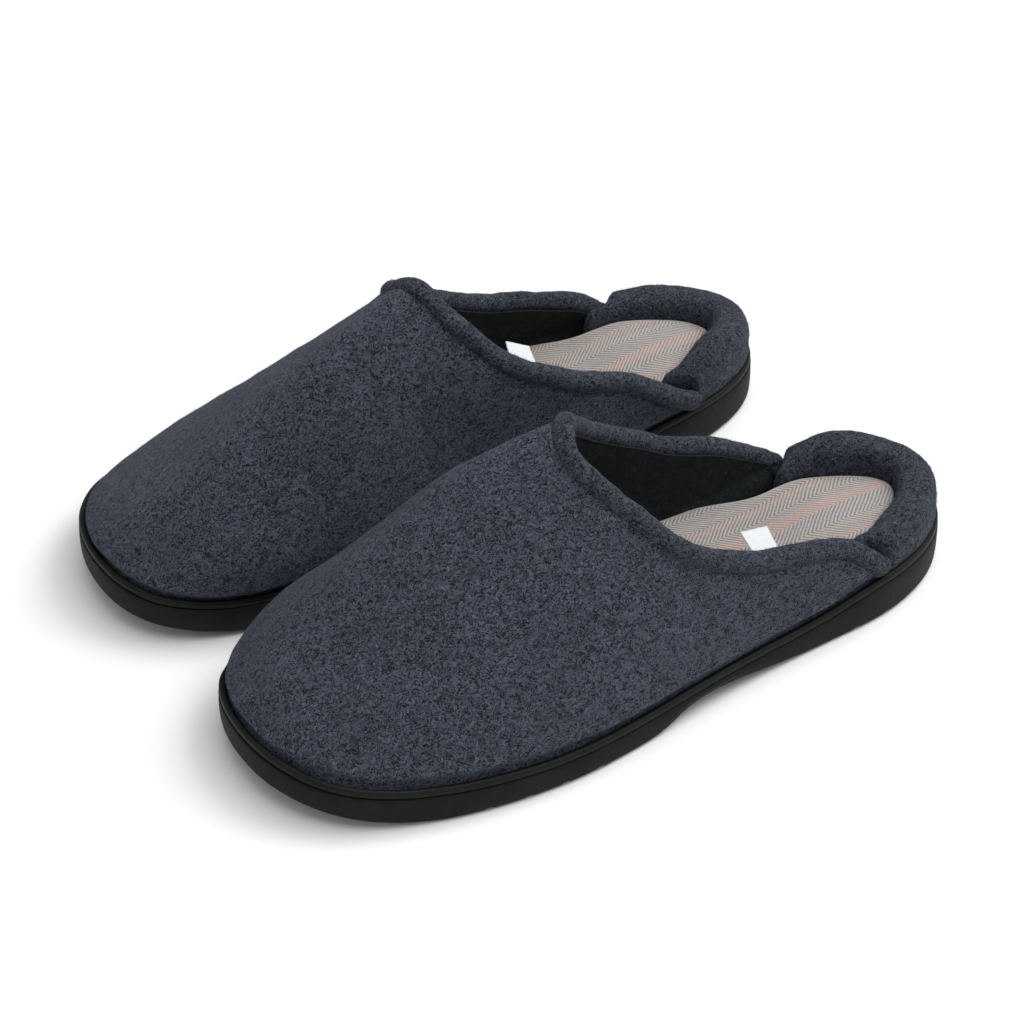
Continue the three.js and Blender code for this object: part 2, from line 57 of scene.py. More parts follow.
OUTLINE = np.array([[-0.3, 290.0], [14.3, 285.4], [25.5, 275.0], [33.0, 261.6], [37.6, 246.9], [39.7, 231.6], [40.9, 216.2], [42.5, 200.8], [44.4, 185.5], [46.7, 170.3], [49.4, 155.1], [52.2, 139.9], [54.8, 124.7], [56.7, 109.4], [57.3, 94.0], [56.5, 78.5], [54.5, 63.2], [51.1, 48.2], [46.2, 33.6], [38.8, 20.1], [27.5, 9.6], [13.7, 2.8], [-1.4, 0.1], [-16.8, 0.8], [-31.3, 6.0], [-42.0, 16.9], [-48.2, 31.0], [-51.2, 46.1], [-51.9, 61.5], [-50.9, 76.9], [-48.6, 92.2], [-45.8, 107.3], [-43.1, 122.5], [-40.9, 137.8], [-39.3, 153.2], [-38.3, 168.6], [-37.7, 184.0], [-37.5, 199.4], [-37.4, 214.8], [-37.3, 230.3], [-36.1, 245.6], [-32.2, 260.6], [-25.4, 274.4], [-14.8, 285.4]])
GROOVE = [[0, 20.2], [5, 19.0], [10, 17.4], [20, 15.6], [30, 14.1], [40, 12.9], [52, 12.0], [68, 11.1], [92, 10.2], [125, 10.0], [160, 10.0], [200, 10.2], [218, 11.4], [234, 14.2], [246, 15.5], [262, 15.6], [290, 15.2]]
TREAD = [[0, 8.2], [5, 7.4], [10, 6.4], [18, 4.9], [26, 3.3], [34, 1.9], [42, 0.8], [50, 0.15], [56, 0], [130, 0], [136, 0.3], [143, 1.8], [149, 4.2], [155, 5.6], [163, 6.0], [173, 5.0], [183, 3.5], [193, 2.0], [203, 0.8], [210, 0.15], [215, 0], [274, 0], [280, 0.2], [286, 0.9], [290, 1.8]]
CUP = [[0, 12.5], [12, 9.6], [25, 6.9], [40, 4.6], [56, 3.6], [125, 3.6], [138, 5.0], [150, 7.4], [163, 8.2], [178, 7.4], [195, 5.2], [212, 3.9], [270, 3.9], [290, 5.2]]
CROWN = [[3.0, 0], [5.6, 6.4], [9, 11.2], [17, 19.6], [28, 30.3], [45, 44.2], [70, 60.5], [100, 78.2], [135, 88.4], [180, 88.7], [245, 52.3]]
TOPLINE = np.array([[243.0, 0.9885], [241.8, 0.982], [238.6, 0.9713], [227.4, 0.9381], [209.3, 0.9472], [183.1, 0.9561], [156.9, 0.8634], [140.1, 0.5373], [129.5, 0.198], [134.6, -0.034], [143.0, -0.4036], [159.1, -0.7879], [185.7, -0.9301], [213.5, -0.9323], [228.2, -0.9577], [235.2, -0.972], [240.2, -0.981], [242.4, -0.9885]])
TREAD_CUTS = [(64, 0.06), (79, 0.06), (94, 0.05), (109, 0.04), (232, 0), (247, 0), (262, 0)]
LABELS = {"left": (0.135, 0.3, 9.0), "right": (0.745, 0.35, 2.5)}


# ------------------------------------------------------------------ curves
def smooth(t):
    t = np.clip(t, 0.0, 1.0)
    return t * t * (3 - 2 * t)


class Curve:
    """Monotone cubic through a table, level beyond its ends."""

    def __init__(self, table):
        t = np.array(table, float)
        self.x, self.y = t[:, 0], t[:, 1]
        h = np.diff(self.x)
        d = np.diff(self.y) / h
        m = np.zeros(len(self.x))
        for i in range(1, len(m) - 1):
            if d[i - 1] * d[i] > 0:
                w1, w2 = 2 * h[i] + h[i - 1], h[i] + 2 * h[i - 1]
                m[i] = (w1 + w2) / (w1 / d[i - 1] + w2 / d[i])
        m[0], m[-1] = d[0], d[-1]
        self.m = m

    def __call__(self, t):
        t = np.clip(np.asarray(t, float), self.x[0], self.x[-1])
        i = np.clip(np.searchsorted(self.x, t) - 1, 0, len(self.x) - 2)
        h = self.x[i + 1] - self.x[i]
        s = (t - self.x[i]) / h
        return ((2 * s**3 - 3 * s**2 + 1) * self.y[i] + (s**3 - 2 * s**2 + s) * h * self.m[i]
                + (-2 * s**3 + 3 * s**2) * self.y[i + 1] + (s**3 - s**2) * h * self.m[i + 1])


groove, tread, cup, crown, lean = Curve(GROOVE), Curve(TREAD), Curve(CUP), Curve(CROWN), Curve(LEAN)
dome_n, dome_m = Curve(DOME_N), Curve(DOME_M)
last_z = lambda y: groove(y) + 2.3

# closed smooth spline through the outline, s from 0 to 1 from the heel, lateral side first
_n = len(OUTLINE)
_A = np.zeros((_n, _n))
for _i in range(_n):
    _A[_i, _i], _A[_i, (_i + 1) % _n], _A[_i, (_i - 1) % _n] = 4, 1, 1
_D = np.linalg.solve(_A, 3 * (np.roll(OUTLINE, -1, 0) - np.roll(OUTLINE, 1, 0)))


def outline(s):
    t = (np.asarray(s, float) % 1.0) * _n
    i = np.floor(t).astype(int) % _n
    t = (t - np.floor(t))[..., None]
    a, b, da, db = OUTLINE[i], OUTLINE[(i + 1) % _n], _D[i], _D[(i + 1) % _n]
    return (2 * t**3 - 3 * t**2 + 1) * a + (t**3 - 2 * t**2 + t) * da + (-2 * t**3 + 3 * t**2) * b + (t**3 - t**2) * db


def out_normal(s):
    d = outline(np.asarray(s) + 0.002) - outline(np.asarray(s) - 0.002)
    d = d / np.linalg.norm(d, axis=-1, keepdims=True)
    return np.stack([-d[..., 1], d[..., 0]], -1)


def flat(s, inset):
    p = outline(s) - out_normal(s) * np.asarray(inset, float)[..., None]
    p[..., 1] = np.clip(p[..., 1], 0, LENGTH)
    return p


# ------------------------------------------------------------------ the upper
_e = flat(np.linspace(0, 1, 4001), np.full(4001, FELT_IN))
_tip = int(np.argmin(_e[:, 1]))
_lat, _med = _e[: _tip + 1][::-1], _e[_tip:]
EDGE_Y0 = float(_e[_tip, 1])


def edge(y):
    a = np.interp(y, np.maximum.accumulate(_lat[:, 1]), _lat[:, 0])
    b = np.interp(y, np.maximum.accumulate(_med[:, 1]), _med[:, 0])
    return (a + b) / 2, np.maximum((a - b) / 2, 0.01)


def dome(xp, y):
    xc, w = edge(y)
    a = np.clip(np.abs(xp - xc) / w, 0, 1)
    a = (np.sqrt(a * a + DOME_C**2) - DOME_C) / (math.sqrt(1 + DOME_C**2) - DOME_C)
    return crown(np.maximum(y - EDGE_Y0 + 3.0, 3.0)) * np.maximum(1 - a ** dome_n(y), 0) ** (1 / dome_m(y))


def bulge(dz):
    return BULGE * smooth((dz - 1.2) / 5) * (1 - smooth((dz - 9) / 34))


def catmull(pts, k):
    out = []
    c = len(pts)
    for i in range(c - 1):
        p = [pts[min(max(i + d, 0), c - 1)] for d in (-1, 0, 1, 2)]
        for j in range(k):
            t = j / k
            out.append(0.5 * (2 * p[1] + (p[2] - p[0]) * t + (2 * p[0] - 5 * p[1] + 4 * p[2] - p[3]) * t**2 + (3 * p[1] - p[0] - 3 * p[2] + p[3]) * t**3))
    out.append(pts[-1])
    return np.array(out)


def _top_plan():
    q = catmull(TOPLINE, 24)
    xc, w = edge(q[:, 0])
    xp = xc + q[:, 1] * w
    dz = dome(xp, q[:, 0])
    p = np.stack([xp - lean(q[:, 0]) * dz, q[:, 0], last_z(q[:, 0]) + dz], -1)
    d = np.concatenate([[0], np.cumsum(np.linalg.norm(np.diff(p, axis=0), axis=1))])
    d /= d[-1]
    plan = np.stack([xp, q[:, 0]], -1)
    # a light running average keeps the rolled edge free of kinks
    u = np.linspace(0, 1, 801)
    r = np.stack([np.interp(u, d, plan[:, 0]), np.interp(u, d, plan[:, 1])], -1)
    k = np.hanning(61)
    k /= k.sum()
    pad = np.concatenate([2 * r[:1] - r[30:0:-1], r, 2 * r[-1:] - r[-2:-32:-1]])
    return u, np.stack([np.convolve(pad[:, i], k, "valid") for i in (0, 1)], -1)


_tu, _tp = _top_plan()


def top_plan(u):
    u = np.clip(u, 0, 1)
    return np.stack([np.interp(u, _tu, _tp[:, 0]), np.interp(u, _tu, _tp[:, 1])], -1)


def upper(u, v):
    """Outer felt surface: u along the lasted edge, v from that edge (0) to the topline (1)."""
    u, v = np.broadcast_arrays(np.asarray(u, float), np.asarray(v, float))
    s = S_FIRST + u * (S_LAST - S_FIRST)
    F, T, n = flat(s, np.full(s.shape, FELT_IN)), top_plan(u), out_normal(s)
    q = np.clip(v, 0, 2) ** 1.8
    P = F + q[..., None] * (T - F)
    y = P[..., 1]
    # along the wings the rows follow the sole's edge, round the toe they run straight
    sg = np.where(u < 0.5, 1.0, -1.0)
    ct, wt = edge(T[..., 1])
    cy, wy = edge(y)
    along = cy + (sg + q * ((T[..., 0] - ct) / wt - sg)) * wy
    xp = P[..., 0] + smooth((np.abs(u - 0.5) - 0.13) / 0.12) * (along - P[..., 0])
    dz = np.where(v <= 0, 0, dome(xp, y))
    b = bulge(dz)
    return np.stack([xp - lean(y) * dz + n[..., 0] * b, y + n[..., 1] * b, last_z(y) + dz], -1)


def unit(a):
    return a / np.maximum(np.linalg.norm(a, axis=-1, keepdims=True), 1e-9)


def upper_normal(u, v):
    u, v = np.broadcast_arrays(np.asarray(u, float), np.asarray(v, float))
    e = 0.004
    du = upper(np.minimum(u + e, 1), v) - upper(np.maximum(u - e, 0), v)
    dv = upper(u, np.minimum(v + e, 1)) - upper(u, np.maximum(v - e, 0.0005))
    return unit(np.cross(dv, du))


def skin(u, v, t):
    u, v, t = np.broadcast_arrays(np.asarray(u, float), np.asarray(v, float), np.asarray(t, float))
    n = upper_normal(u, np.maximum(v, 0.04))
    h = n.copy()
    h[..., 2] = 0
    k = smooth(v / 0.04)[..., None]
    n = unit(unit(h) * (1 - k) + n * k)
    return upper(u, v) - n * t[..., None]


# ------------------------------------------------------------------ meshes
ROW = {}


def to_row(p, side):
    """A slipper's own millimetres to metres in the row frame."""
    s = 1.0 if side == "left" else -1.0
    p = np.asarray(p, float)
    return np.stack([s * (PAIR_X + p[..., 0]), p[..., 1] + s * PAIR_Y - LENGTH / 2, p[..., 2]], -1) / 1000


def mesh(name, side, P, faces, material, body=None, extra=None, shade=True):
    P = np.asarray(P, float).reshape(-1, 3)
    if side == "right":
        faces = [f[::-1] for f in faces]
    me = bpy.data.meshes.new(f"{side}_{name}")
    me.from_pydata(to_row(P, side).tolist(), [], faces)
    me.update()
    a = me.attributes.new("loc", "FLOAT_VECTOR", "POINT")
    a.data.foreach_set("vector", P.astype(np.float32).ravel())
    for k, val in (extra or {}).items():
        b = me.attributes.new(k, "FLOAT", "POINT")
        b.data.foreach_set("value", np.asarray(val, np.float32).ravel())
    if shade:
        me.shade_smooth()
    me.materials.append(material)
    o = bpy.data.objects.new(f"{side}_{name}", me)
    bpy.context.scene.collection.objects.link(o)
    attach(o, body or f"{side}_slipper")
    return o


def grid_faces(nu, nv, o=0, close_u=False):
    """Quads of a grid [u][v]."""
    i = np.arange(nu if close_u else nu - 1)
    I, J = np.meshgrid(i, np.arange(nv - 1), indexing="ij")
    a = I * nv + J
    b = ((I + 1) % nu) * nv + J
    return np.stack([a, b, b + 1, a + 1], -1).reshape(-1, 4) + o


def shell(A, B):
    """Closed shell between two grids; A is the outside."""
    nu, nv = A.shape[:2]
    o = nu * nv
    f = [grid_faces(nu, nv).tolist(), (grid_faces(nu, nv) + o)[:, ::-1].tolist()]
    j = np.arange(nv - 1)
    i = np.arange(nu - 1) * nv
    e = []
    for a, b in ((j + 1, j), ((nu - 1) * nv + j, (nu - 1) * nv + j + 1), (i, i + nv), (i + nv + nv - 1, i + nv - 1)):
        e += np.stack([a, b, b + o, a + o], -1).tolist()
    return np.concatenate([A.reshape(-1, 3), B.reshape(-1, 3)]), f[0] + f[1] + e


def tube(R, closed=False, cap=True):
    """Skin over sections R[station][point], each a closed profile."""
    m, k = R.shape[:2]
    I, J = np.meshgrid(np.arange(m if closed else m - 1), np.arange(k), indexing="ij")
    a, b = I * k + J, I * k + (J + 1) % k
    c, d = ((I + 1) % m) * k + J, ((I + 1) % m) * k + (J + 1) % k
    f = np.stack([a, b, d, c], -1).reshape(-1, 4).tolist()
    if not closed and cap:
        f.append(list(range(k))[::-1])
        f.append([(m - 1) * k + j for j in range(k)])
    return R.reshape(-1, 3), f


def fbm(p, scale, seed, octaves=3):
    """Smooth deterministic noise in -1..1 at points p (mm): sums of sines in fixed random directions."""
    rng = np.random.default_rng(seed)
    out = np.zeros(p.shape[:-1])
    amp, tot = 1.0, 0.0
    for o in range(octaves):
        for _ in range(5):
            d = rng.normal(size=3)
            d /= np.linalg.norm(d)
            out += amp / 2.2 * np.sin(p @ (d * 2 * np.pi / scale) + rng.uniform(0, 6.28))
        tot += amp
        amp *= 0.5
        scale *= 0.52
    return out / tot


def turn_out(P, F):
    """Faces turned so that the closed mesh faces out."""
    P = np.asarray(P).reshape(-1, 3)
    v = 0.0
    for f in F:
        for i in range(1, len(f) - 1):
            v += np.dot(P[f[0]], np.cross(P[f[i]], P[f[i + 1]]))
            if i > 3:
                break
    return F if v > 0 else [f[::-1] for f in F]


# ------------------------------------------------------------------ shader helpers
class Mat:
    """A material being wired up by hand."""

    def __init__(self, name):
        self.m = bpy.data.materials.new(name)
        self.m.use_nodes = True
        self.t = self.m.node_tree
        self.t.nodes.clear()
        self.out = self.node("ShaderNodeOutputMaterial")
        self.bsdf = self.node("ShaderNodeBsdfPrincipled")
        self.link(self.bsdf.outputs[0], self.out.inputs[0])
        a = self.node("ShaderNodeAttribute")
        a.attribute_name = "loc"
        self.loc = a.outputs["Vector"]

    def node(self, kind, **kw):
        n = self.t.nodes.new(kind)
        for k, v in kw.items():
            setattr(n, k, v)
        return n

    def link(self, a, b):
        self.t.links.new(a, b)

    def put(self, sock, v):
        if isinstance(v, bpy.types.NodeSocket):
            self.link(v, sock)
        else:
            sock.default_value = v

    def math(self, op, a, b=0.0, c=0.0, clamp=False):
        n = self.node("ShaderNodeMath", operation=op, use_clamp=clamp)
        for i, v in enumerate((a, b, c)):
            self.put(n.inputs[i], v)
        return n.outputs[0]

    def vec(self, op, a, b=None, scale=None):
        n = self.node("ShaderNodeVectorMath", operation=op)
        self.put(n.inputs[0], a)
        if b is not None:
            self.put(n.inputs[1], b)
        if scale is not None:
            self.put(n.inputs["Scale"], scale)
        return n.outputs[0]

    def mapping(self, v, scale=(1, 1, 1), rot=(0, 0, 0), loc=(0, 0, 0)):
        n = self.node("ShaderNodeMapping")
        self.put(n.inputs["Vector"], v)
        n.inputs["Scale"].default_value = scale
        n.inputs["Rotation"].default_value = rot
        n.inputs["Location"].default_value = loc
        return n.outputs[0]

    def noise(self, v, scale, detail=2.0, rough=0.5, distortion=0.0, color=False):
        n = self.node("ShaderNodeTexNoise")
        self.put(n.inputs["Vector"], v)
        n.inputs["Scale"].default_value = scale
        n.inputs["Detail"].default_value = detail
        n.inputs["Roughness"].default_value = rough
        n.inputs["Distortion"].default_value = distortion
        return n.outputs["Color" if color else 0]

    def ramp(self, f, stops, mode="LINEAR"):
        n = self.node("ShaderNodeValToRGB")
        n.color_ramp.interpolation = mode
        e = n.color_ramp.elements
        while len(e) < len(stops):
            e.new(0.5)
        for el, (p, c) in zip(e, stops):
            el.position = p
            el.color = (*c, 1) if len(c) == 3 else c
        self.put(n.inputs[0], f)
        return n.outputs[0]

    def remap(self, f, a, b, c=0.0, d=1.0):
        n = self.node("ShaderNodeMapRange")
        n.clamp = True
        for s, v in zip(("Value", "From Min", "From Max", "To Min", "To Max"), (f, a, b, c, d)):
            self.put(n.inputs[s], v)
        return n.outputs[0]

    def mix(self, f, a, b, mode="MIX"):
        n = self.node("ShaderNodeMix", data_type="RGBA", blend_type=mode)
        n.clamp_factor = True
        self.put(n.inputs[0], f)
        for i, v in ((6, a), (7, b)):
            self.put(n.inputs[i], (*v, 1) if isinstance(v, tuple) and len(v) == 3 else v)
        return n.outputs[2]

    def bump(self, h, strength, dist, normal=None):
        n = self.node("ShaderNodeBump")
        n.inputs["Strength"].default_value = strength
        n.inputs["Distance"].default_value = dist
        self.put(n.inputs["Height"], h)
        if normal is not None:
            self.put(n.inputs["Normal"], normal)
        return n.outputs[0]

    def set(self, **kw):
        for k, v in kw.items():
            self.put(self.bsdf.inputs[k.replace("_", " ")], (*v, 1) if isinstance(v, tuple) and len(v) == 3 else v)


def felt_material(name, dark, mid, light, tint=1.0, sheen=0.55):
    m = Mat(name)
    p = m.loc
    # slow warp so that the fibres curl instead of running straight
    w = m.vec("SUBTRACT", m.noise(p, 0.32, 2.0, 0.55, color=True), (0.5, 0.5, 0.5))
    q = m.vec("ADD", p, m.vec("SCALE", w, scale=7.0))
    w2 = m.vec("SUBTRACT", m.noise(p, 1.3, 1.0, 0.5, color=True), (0.5, 0.5, 0.5))
    q = m.vec("ADD", q, m.vec("SCALE", w2, scale=0.9))
    fib = None
    for k, rot in enumerate(((0.3, 0.1, 0.5), (0.9, 0.5, 1.6), (-0.6, 0.9, 2.6), (1.4, -0.4, 3.7), (0.2, 1.3, -0.7))):
        f = m.noise(m.mapping(q, scale=(1.45, 0.30, 1.45), rot=rot, loc=(17.3 * k, 3.1 * k, 9.7 * k)), 1.0, 1.0, 0.5)
        f = m.remap(f, 0.565, 0.67)
        fib = f if fib is None else m.math("MAXIMUM", fib, m.math("MULTIPLY", f, 1.0 - 0.06 * k))
    darkf = None
    for k, rot in enumerate(((1.1, 0.7, -0.4), (-0.5, 0.2, 2.1), (0.6, -1.0, 0.9))):
        f = m.noise(m.mapping(q, scale=(1.6, 0.26, 1.6), rot=rot, loc=(-7.3 * k, 23.1 * k, 5.7)), 1.0, 1.0, 0.5)
        f = m.remap(f, 0.53, 0.68)
        darkf = f if darkf is None else m.math("MAXIMUM", darkf, f)
    fine = m.noise(q, 2.2, 3.0, 0.6)
    clump = m.noise(p, 0.50, 3.0, 0.62)
    broad = m.noise(p, 0.055, 2.0, 0.5)
    hue = m.noise(p, 0.21, 3.0, 0.6)
    base = m.ramp(m.math("ADD", m.math("MULTIPLY", fine, 0.55), m.math("MULTIPLY", clump, 0.45)), [(0.38, dark), (0.50, mid), (0.62, tuple(0.55 * a + 0.45 * b for a, b in zip(mid, light)))])
    warm = tuple(c * k for c, k in zip(mid, (1.45, 0.80, 0.98)))
    cool = tuple(c * k for c, k in zip(mid, (0.60, 1.12, 1.04)))
    tone = m.ramp(hue, [(0.40, warm), (0.5, mid), (0.60, cool)])
    base = m.mix(0.45 * tint, base, m.mix(1.0, tone, m.ramp(clump, [(0.36, (0.55, 0.55, 0.55)), (0.5, (1.0, 1.0, 1.0)), (0.64, (1.6, 1.6, 1.6))]), "MULTIPLY"))
    base = m.mix(m.math("MULTIPLY", darkf, 0.70), base, dark)
    base = m.mix(m.math("MULTIPLY", fib, 0.85), base, light)
    base = m.mix(1.0, base, m.ramp(broad, [(0.3, (0.90, 0.90, 0.90)), (0.7, (1.10, 1.10, 1.10))]), "MULTIPLY")
    h = m.math("ADD", m.math("MULTIPLY", fib, 0.5), m.math("ADD", m.math("MULTIPLY", clump, 0.9), m.math("MULTIPLY", fine, 0.35)))
    m.set(Base_Color=base, Roughness=0.95, Normal=m.bump(h, 0.75, 0.0009), Sheen_Weight=sheen, Sheen_Roughness=0.45)
    m.bsdf.inputs["Specular IOR Level"].default_value = 0.12
    m.bsdf.inputs["Sheen Tint"].default_value = (0.50, 0.56, 0.68, 1)
    return m.m


def rubber_material(name, col, rough, bump):
    m = Mat(name)
    n1 = m.noise(m.loc, 1.1, 4.0, 0.6)
    n2 = m.noise(m.loc, 0.09, 3.0, 0.55)
    c = m.mix(m.remap(n2, 0.35, 0.7), col, tuple(v * 1.35 + 0.002 for v in col))
    m.set(Base_Color=c, Roughness=m.remap(n1, 0.3, 0.7, rough - 0.06, rough + 0.10), Normal=m.bump(m.math("ADD", n1, m.math("MULTIPLY", n2, 2.0)), bump, 0.0004))
    m.bsdf.inputs["Specular IOR Level"].default_value = 0.12
    return m.m


def lining_material(name):
    m = Mat(name)
    w = m.vec("SUBTRACT", m.noise(m.loc, 0.5, 1.0, 0.5, color=True), (0.5, 0.5, 0.5))
    q = m.vec("ADD", m.loc, m.vec("SCALE", w, scale=3.0))
    f1 = m.noise(m.mapping(q, scale=(2.4, 0.5, 2.4), rot=(0.4, 0.2, 0.3)), 1.0, 2.0, 0.6)
    f2 = m.noise(m.loc, 0.30, 3.0, 0.6)
    c = m.ramp(m.math("ADD", m.math("MULTIPLY", f1, 0.6), m.math("MULTIPLY", f2, 0.4)), [(0.34, (0.0040, 0.0050, 0.0054)), (0.5, (0.0088, 0.0108, 0.0116)), (0.66, (0.020, 0.024, 0.026))])
    m.set(Base_Color=c, Roughness=0.95, Normal=m.bump(m.math("ADD", f1, m.math("MULTIPLY", f2, 1.4)), 0.6, 0.0007), Sheen_Weight=0.08, Sheen_Roughness=0.5)
    m.bsdf.inputs["Specular IOR Level"].default_value = 0.1
    m.bsdf.inputs["Sheen Tint"].default_value = (0.42, 0.42, 0.44, 1)
    return m.m


def tweed_material(name):
    m = Mat(name)
    s = m.node("ShaderNodeSeparateXYZ")
    wob = m.vec("SUBTRACT", m.noise(m.loc, 0.06, 1.0, 0.5, color=True), (0.5, 0.5, 0.5))
    m.link(m.vec("ADD", m.loc, m.vec("SCALE", wob, scale=1.6)), s.inputs[0])
    x, y = s.outputs[0], s.outputs[1]
    W, PITCH = 8.6, 1.9
    zig = m.math("PINGPONG", x, W)
    t = m.math("ADD", m.math("MULTIPLY", zig, 1.05), y)
    ph = m.math("MULTIPLY", t, 2 * math.pi / PITCH)
    jit = m.math("MULTIPLY", m.math("SUBTRACT", m.noise(m.loc, 1.6, 2.0, 0.6), 0.5), 2.2)
    line = m.math("ADD", m.math("MULTIPLY", m.math("SINE", m.math("ADD", ph, jit)), 0.5), 0.5)
    line = m.remap(line, 0.30, 0.78)
    # thin cross yarns
    yarn = m.math("ADD", m.math("MULTIPLY", m.math("SINE", m.math("MULTIPLY", x, 2 * math.pi / 0.62)), 0.5), 0.5)
    yarn2 = m.math("ADD", m.math("MULTIPLY", m.math("SINE", m.math("MULTIPLY", y, 2 * math.pi / 0.7)), 0.5), 0.5)
    # coloured warp bands that run along the foot
    band = m.math("FRACT", m.math("DIVIDE", m.math("ADD", x, 103.0), 31.0))
    rust, grey, blue, olive = (0.335, 0.140, 0.102), (0.125, 0.118, 0.120), (0.120, 0.140, 0.190), (0.210, 0.180, 0.125)
    col = m.ramp(band, [(0.0, grey), (0.13, grey), (0.16, rust), (0.33, rust), (0.36, grey), (0.50, blue), (0.60, grey), (0.66, olive), (0.76, grey), (0.84, rust), (0.93, grey)])
    ground = m.mix(m.noise(m.loc, 1.4, 3.0, 0.65), (0.325, 0.300, 0.282), (0.505, 0.475, 0.450))
    fleck = m.remap(m.noise(m.mapping(m.loc, scale=(1.2, 0.5, 1.0)), 1.6, 2.0, 0.6), 0.60, 0.72)
    lint = m.remap(m.noise(m.loc, 3.4, 2.0, 0.6), 0.35, 0.65, 0.55, 1.0)
    c = m.mix(m.math("MULTIPLY", line, lint), ground, col)
    c = m.mix(m.math("MULTIPLY", fleck, 0.45), c, (0.62, 0.56, 0.50))
    c = m.mix(m.math("MULTIPLY", yarn, 0.16), c, (0.12, 0.11, 0.11))
    a = m.node("ShaderNodeAttribute")
    a.attribute_name = "edge"
    c = m.mix(m.remap(a.outputs["Fac"], 0.25, 0.9, 0.0, 0.7), c, m.mix(m.noise(m.loc, 2.0, 2.0, 0.6), (0.30, 0.28, 0.26), (0.46, 0.43, 0.40)))
    h = m.math("ADD", m.math("MULTIPLY", line, -0.35), m.math("ADD", m.math("MULTIPLY", yarn, 0.25), m.math("MULTIPLY", yarn2, 0.25)))
    h = m.math("ADD", h, m.math("MULTIPLY", m.noise(m.loc, 2.6, 2.0, 0.6), 0.4))
    m.set(Base_Color=c, Roughness=0.92, Normal=m.bump(h, 0.7, 0.0004), Sheen_Weight=0.15, Sheen_Roughness=0.5)
    m.bsdf.inputs["Specular IOR Level"].default_value = 0.15
    return m.m


def plain_material(name, col, rough, nscale=0.8, contrast=0.25, bump=0.3):
    m = Mat(name)
    n1 = m.noise(m.loc, nscale, 4.0, 0.65)
    c = m.mix(m.remap(n1, 0.3, 0.7), tuple(v * (1 - contrast) for v in col), tuple(min(1, v * (1 + contrast)) for v in col))
    m.set(Base_Color=c, Roughness=rough, Normal=m.bump(n1, bump, 0.0006))
    return m.m


def satin_material(name):
    m = Mat(name)
    s = m.node("ShaderNodeSeparateXYZ")
    m.link(m.loc, s.inputs[0])
    rib = m.math("SINE", m.math("MULTIPLY", s.outputs[1], 2 * math.pi / 0.35))
    n1 = m.noise(m.loc, 1.2, 2.0, 0.5)
    m.set(Base_Color=m.mix(n1, (0.56, 0.58, 0.61), (0.74, 0.75, 0.76)), Roughness=0.42, Normal=m.bump(m.math("ADD", rib, m.math("MULTIPLY", n1, 2.0)), 0.35, 0.0001), Sheen_Weight=0.2)
    return m.m


# ------------------------------------------------------------------ pieces of one slipper
NS = 288
inner1 = FELT_T + GAP
inner2 = inner1 + FOAM_T
inner3 = inner2 + GAP + 0.7
inner4 = inner3 + LINING_T


def ladder_columns(P, Q, k):
    """k points between P and Q, ends left out."""
    t = (np.arange(1, k + 1) / (k + 1))[None, :, None]
    return P[:, None, :] * (1 - t) + Q[:, None, :] * t


def disc_solid(s_half, top_rings, bottom_z, k, top_fn, bottom_fn, rim_rings):
    """A flat-ish solid on the sole plan: rim rings from bottom to top, both faces filled by ladders."""
    s = np.concatenate([s_half, (1 - s_half[1:-1])[::-1]])
    n, h = len(s), len(s_half)
    V, F = [], []
    for r in rim_rings:
        V.append(r(s))
    for a in range(len(rim_rings) - 1):
        i = np.arange(n)
        j = (i + 1) % n
        F += np.stack([a * n + i, a * n + j, (a + 1) * n + j, (a + 1) * n + i], -1).tolist()
    base = len(rim_rings) * n
    for which, fn in ((0, bottom_fn), (len(rim_rings) - 1, top_fn)):
        R = V[which]
        lat = R[1:h - 1]
        med = R[n - 1:h - 1:-1]
        C = ladder_columns(lat, med, k)
        C = fn(C, R)
        V.append(C.reshape(-1, 3))
        m = len(lat)
        idx = np.empty((m, k + 2), int)
        idx[:, 0] = which * n + np.arange(1, h - 1)
        idx[:, -1] = which * n + np.arange(n - 1, h - 1, -1)
        idx[:, 1:-1] = base + np.arange(m * k).reshape(m, k)
        base += m * k
        q = np.stack([idx[:-1, :-1], idx[:-1, 1:], idx[1:, 1:], idx[1:, :-1]], -1).reshape(-1, 4)
        e0 = [[which * n, *idx[0, ::-1].tolist()]]
        e1 = [[which * n + h - 1, *idx[-1].tolist()]]
        if which == 0:
            F += q.tolist() + e0 + e1
        else:
            F += q[:, ::-1].tolist() + [f[::-1] for f in e0 + e1]
    return np.concatenate(V), F


def ring3(s, inset, zf):
    p = flat(s, np.broadcast_to(np.asarray(inset, float), s.shape))
    return np.column_stack([p, zf(p[:, 1])])


def half_stations(n=NS):
    return np.linspace(0, 0.5, n // 2 + 1)


def tread_cut(x, y):
    d = np.zeros_like(y)
    for y0, t in TREAD_CUTS:
        c = np.abs((y - y0) * math.cos(t) - x * math.sin(t))
        d = np.maximum(d, 1.6 * (1 - smooth((c - 1.25) / 0.4)))
    return d


